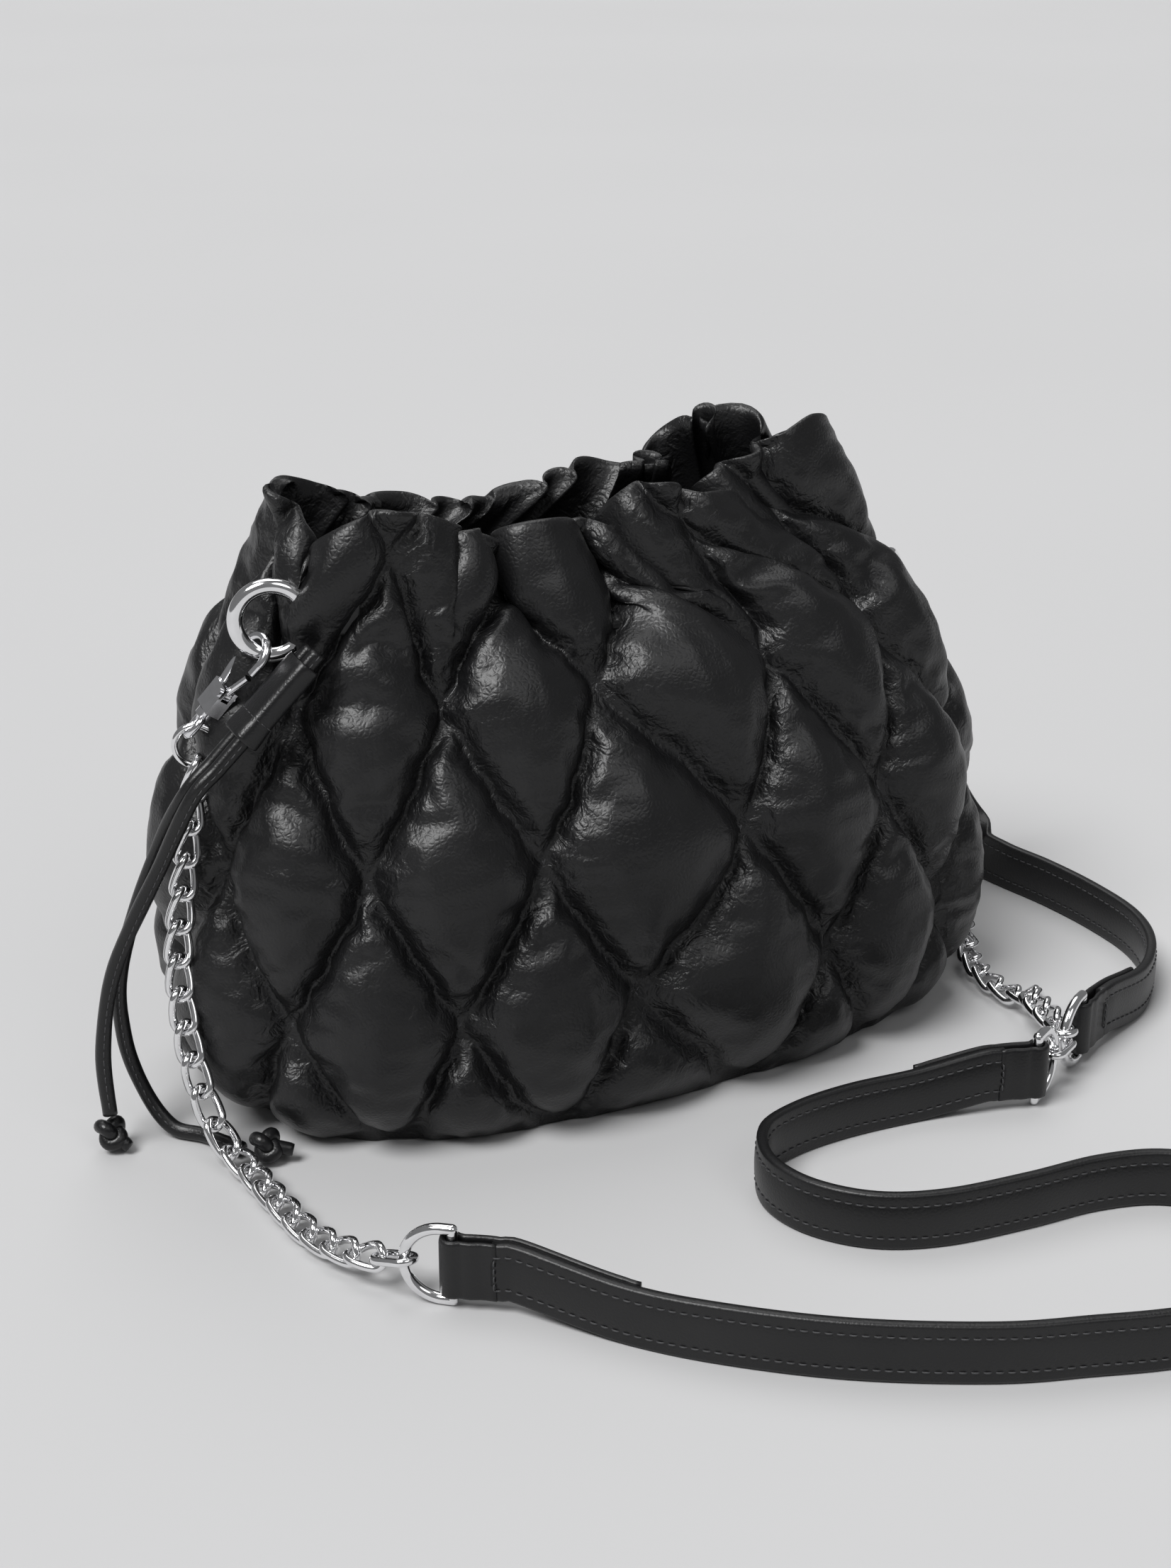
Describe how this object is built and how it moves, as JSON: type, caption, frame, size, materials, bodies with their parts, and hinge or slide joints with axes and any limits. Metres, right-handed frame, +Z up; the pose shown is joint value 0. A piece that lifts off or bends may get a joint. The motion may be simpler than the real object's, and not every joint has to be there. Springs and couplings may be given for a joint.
{
  "type": "drawstring bucket bag",
  "caption": "Small black quilted puffer bucket bag in soft leather, with a drawcord mouth, side rings, swivel snap hooks, curb chains and leather straps.",
  "frame": {"origin": "middle of the flat base, on the surface the bag stands on", "axes": "+Z up; -Y is the front face; X runs along the bag's long side, with the drawcord side at -X"},
  "size_m": [0.3955, 0.3572, 0.21],
  "materials": {
    "shell": "soft pebbled satin",
    "facing": "satin",
    "board": "plain",
    "padding": "loft",
    "lining": "matt twill",
    "cord_leather": "rolled satin",
    "strap_leather": "smooth satin, painted edges",
    "ring_metal": "polished",
    "hook_metal": "polished"
  },
  "bodies": {
    "bag": {"front_panel": "shell", "back_panel": "shell", "base_panel": "shell", "base_board": "board", "wadding": "padding", "lining_wall": "lining", "lining_floor": "lining", "rim_facing": "facing", "casing_cord": "cord_leather", "tab_left": "facing", "tab_right": "facing", "left_hook_swivel": "hook_metal", "right_hook_swivel": "hook_metal", "left_jump_ring": "ring_metal", "right_jump_ring": "ring_metal", "chain_left": "ring_metal", "chain_right": "ring_metal", "join_link": "ring_metal", "dee_left": "ring_metal", "dee_join": "ring_metal", "dee_short": "ring_metal", "loop_left": "strap_leather", "loop_join": "strap_leather", "loop_short": "strap_leather", "loop_ring": "strap_leather", "strap_long": "strap_leather", "strap_short": "strap_leather", "tail_one": "cord_leather", "tail_two": "cord_leather", "knot_left": "cord_leather", "knot_right": "cord_leather"},
    "left_ring": {"ring_left": "ring_metal"},
    "right_ring": {"ring_right": "ring_metal"},
    "left_hook": {"left_hook_body": "hook_metal", "left_hook_pin": "hook_metal"},
    "left_hook_gate": {"left_hook_gate": "hook_metal"},
    "right_hook": {"right_hook_body": "hook_metal", "right_hook_pin": "hook_metal"},
    "right_hook_gate": {"right_hook_gate": "hook_metal"},
    "slider": {"cord_slider": "cord_leather"}
  },
  "joints": [
    {"name": "left_ring_turn", "type": "hinge", "parent": "bag", "child": "left_ring", "pos_m": [-0.121, -0.029, 0.174], "axis": [-0.342, -0.9397, 0], "continuous": true},
    {"name": "right_ring_turn", "type": "hinge", "parent": "bag", "child": "right_ring", "pos_m": [0.144, 0.0225, 0.133], "axis": [0.6691, -0.7431, 0], "continuous": true},
    {"name": "left_hook_swivel_turn", "type": "hinge", "parent": "bag", "child": "left_hook", "pos_m": [-0.14029, -0.02111, 0.1456], "axis": [0.5917, -0.2512, 0.766], "range_deg": [-10, 7]},
    {"name": "left_gate_press", "type": "hinge", "parent": "left_hook", "child": "left_hook_gate", "pos_m": [-0.1357, -0.02516, 0.15091], "axis": [-0.806, -0.1679, 0.5675], "range_deg": [0, 25], "stiffness_Nm_per_rad": 0.02, "springref_deg": -10},
    {"name": "right_hook_swivel_turn", "type": "hinge", "parent": "bag", "child": "right_hook", "pos_m": [0.14965, 0.02915, 0.09908], "axis": [-0.2198, -0.262, 0.9397], "range_deg": [-15, 15]},
    {"name": "right_gate_press", "type": "hinge", "parent": "right_hook", "child": "right_hook_gate", "pos_m": [0.14942, 0.02549, 0.1063], "axis": [-0.7048, -0.6234, -0.3387], "range_deg": [0, 25], "stiffness_Nm_per_rad": 0.02, "springref_deg": -10},
    {"name": "cord_slider_slide", "type": "slide", "parent": "bag", "child": "slider", "axis": [-0.7055, 0.0672, -0.7055], "range_m": [0, 0.014]}
  ]
}
